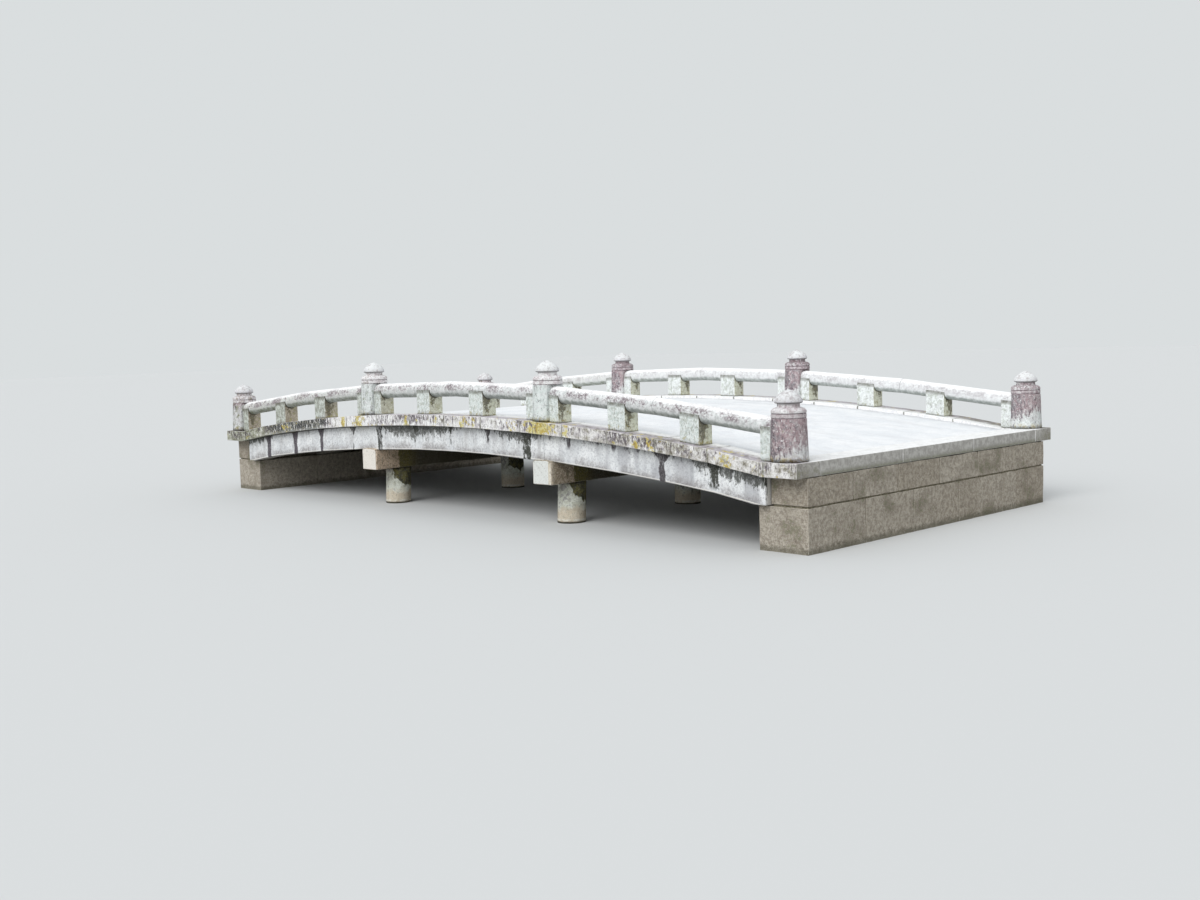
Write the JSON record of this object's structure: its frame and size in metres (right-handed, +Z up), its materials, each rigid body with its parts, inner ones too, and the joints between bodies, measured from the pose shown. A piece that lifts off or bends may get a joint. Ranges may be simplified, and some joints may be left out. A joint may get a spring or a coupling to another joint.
{
  "type": "moon bridge",
  "caption": "Low cambered garden footbridge of stone with round rails on short posts, domed main posts, girders on cap beams and columns, and an abutment at each end.",
  "frame": {"origin": "middle of the bridge's plan, at the water level, where columns and abutments end", "axes": "+X along the bridge, +Y across it, away from the picture's side, +Z up"},
  "size_m": [11.5, 5.51, 2.0422],
  "materials": {
    "rail_stone": "fine dressed granite, weathered",
    "post_stone": "dressed granite, stained",
    "saddle_stone": "dressed granite, weathered",
    "kerb_stone": "dressed granite, streaked",
    "deck_stone": "fine aggregate",
    "sill_stone": "dressed granite",
    "girder_stone": "smooth, with drip stains",
    "inner_stone": "smooth, in shade",
    "beam_stone": "smooth, warm",
    "column_stone": "smooth, mossy",
    "abutment_stone": "rough, mossy"
  },
  "bodies": {
    "root": {"left_abutment": "abutment_stone", "right_abutment": "abutment_stone", "left_pier_columns": "column_stone", "left_pier_cap_beam": "beam_stone", "right_pier_columns": "column_stone", "right_pier_cap_beam": "beam_stone", "near_girder_left": "girder_stone", "near_girder_centre": "girder_stone", "near_girder_right": "girder_stone", "far_girder_left": "girder_stone", "far_girder_centre": "girder_stone", "far_girder_right": "girder_stone", "inner_girders_left": "inner_stone", "inner_girders_centre": "inner_stone", "inner_girders_right": "inner_stone", "deck_left": "deck_stone", "deck_centre": "deck_stone", "deck_right": "deck_stone", "left_sill": "sill_stone", "right_sill": "sill_stone", "near_kerb": "kerb_stone", "far_kerb": "kerb_stone", "near_post_1": "post_stone", "near_post_2": "post_stone", "near_post_3": "post_stone", "near_post_4": "post_stone", "far_post_1": "post_stone", "far_post_2": "post_stone", "far_post_3": "post_stone", "far_post_4": "post_stone", "near_saddles_left": "saddle_stone", "near_saddles_centre": "saddle_stone", "near_saddles_right": "saddle_stone", "far_saddles_left": "saddle_stone", "far_saddles_centre": "saddle_stone", "far_saddles_right": "saddle_stone", "near_rail_left": "rail_stone", "near_rail_centre": "rail_stone", "near_rail_right": "rail_stone", "far_rail_left": "rail_stone", "far_rail_centre": "rail_stone", "far_rail_right": "rail_stone"}
  },
  "joints": []
}
